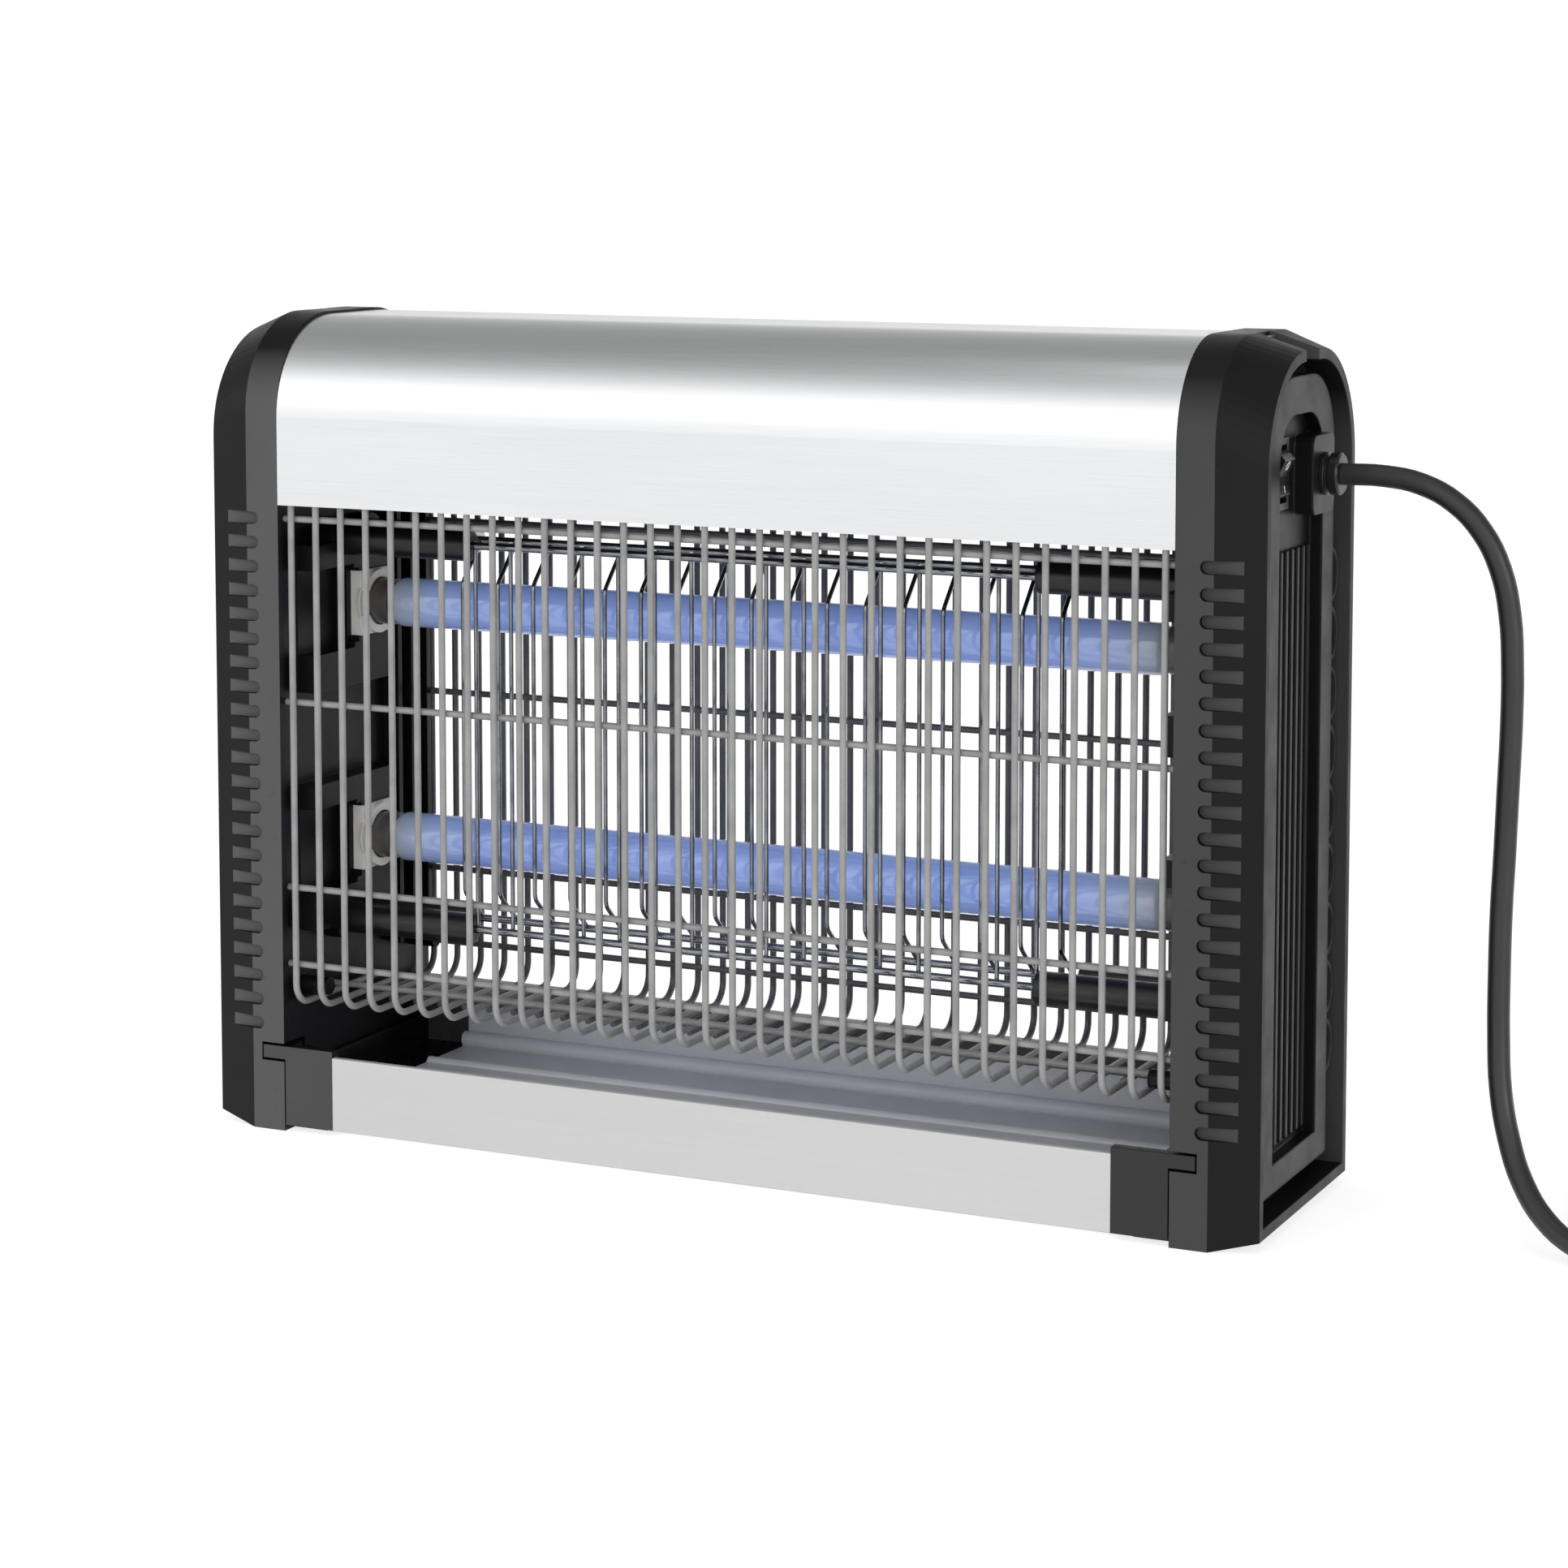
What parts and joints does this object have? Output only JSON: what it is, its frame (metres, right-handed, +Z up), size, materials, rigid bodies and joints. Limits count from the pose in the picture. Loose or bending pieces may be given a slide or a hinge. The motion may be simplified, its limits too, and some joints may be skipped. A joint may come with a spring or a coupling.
{
  "type": "electric insect killer",
  "caption": "Electric insect killer with ultraviolet tubes and an electrode grid between wire guards, black end covers, rounded metal housing, rocker switch, slide-out tray and mains lead.",
  "frame": {"origin": "centre of the base, on the floor", "axes": "+Z up, +X to the right seen from the front, +Y to the rear; the tray slides out towards -Y"},
  "size_m": [0.5775, 0.1202, 0.2602],
  "materials": {
    "brushed_shell": "brushed satin",
    "black_plastic": "fine texture",
    "floor_steel": "satin paint",
    "guard_paint": "satin powder coat",
    "tube_glass": "coated glass",
    "tube_cap": "dull metal",
    "pin_brass": "plain",
    "holder_white": "off-white",
    "electrode_chrome": "bright plated wire",
    "insulator_black": "smooth",
    "core_steel": "varnished laminations",
    "coil_tape": "yellow tape",
    "board_green": "solder mask",
    "component_blue": "sleeved components",
    "terminal_white": "plain",
    "wire_red": "insulated wire",
    "switch_black": "smooth",
    "zinc_steel": "zinc plated",
    "tray_grey": "satin dark grey",
    "tray_pale": "satin pale grey",
    "tray_end_black": "glossy",
    "lead_black": "mains lead sheath",
    "plug_pin_nickel": "nickel plated"
  },
  "bodies": {
    "frame": {"housing": "brushed_shell", "housing_floor": "floor_steel", "cover_left": "black_plastic", "cover_right": "black_plastic", "end_frame_left": "black_plastic", "end_frame_right": "black_plastic", "side_panel_left": "black_plastic", "side_panel_right": "black_plastic", "front_guard": "guard_paint", "rear_guard": "guard_paint", "rear_crossbar": "floor_steel", "upper_left_holder": "holder_white", "upper_right_holder": "holder_white", "lower_left_holder": "holder_white", "lower_right_holder": "holder_white", "front_electrodes": "electrode_chrome", "rear_electrodes": "electrode_chrome", "front_insulators": "insulator_black", "rear_insulators": "insulator_black", "electrode_ferrules": "electrode_chrome", "transformer_core": "core_steel", "transformer_coil": "coil_tape", "circuit_board": "board_green", "board_parts": "component_blue", "terminal_block": "terminal_white", "wiring": "wire_red", "switch_body": "switch_black", "switch_terminals": "pin_brass", "hanger_left": "zinc_steel", "hanger_right": "zinc_steel", "cover_screws": "zinc_steel", "floor_screws": "zinc_steel", "hanger_screws": "zinc_steel", "cord_gland": "lead_black", "cord": "lead_black", "cord_coil": "lead_black", "cord_tail": "lead_black", "cord_tie": "lead_black", "plug_body": "lead_black", "plug_pins": "plug_pin_nickel"},
    "tray": {"tray": "tray_grey", "tray_front": "tray_pale", "tray_end_left": "tray_end_black", "tray_end_right": "tray_end_black"},
    "upper_lamp": {"upper_tube": "tube_glass", "upper_tube_caps": "tube_cap", "upper_tube_pins": "pin_brass", "upper_rotors": "holder_white"},
    "lower_lamp": {"lower_tube": "tube_glass", "lower_tube_caps": "tube_cap", "lower_tube_pins": "pin_brass", "lower_rotors": "holder_white"},
    "rocker": {"switch_rocker": "switch_black"}
  },
  "joints": [
    {"name": "tray_slide", "type": "slide", "parent": "frame", "child": "tray", "axis": [0, -1, 0], "range_m": [0, 0.085]},
    {"name": "upper_lamp_turn", "type": "hinge", "parent": "frame", "child": "upper_lamp", "pos_m": [0, 0, 0.1658], "axis": [1, 0, 0], "range_deg": [0, 90]},
    {"name": "lower_lamp_turn", "type": "hinge", "parent": "frame", "child": "lower_lamp", "pos_m": [0, 0, 0.0891], "axis": [1, 0, 0], "range_deg": [0, 90]},
    {"name": "switch_tilt", "type": "hinge", "parent": "frame", "child": "rocker", "pos_m": [0.1652, -0.0135, 0.2202], "axis": [0, -1, 0], "range_deg": [0, 16]}
  ]
}
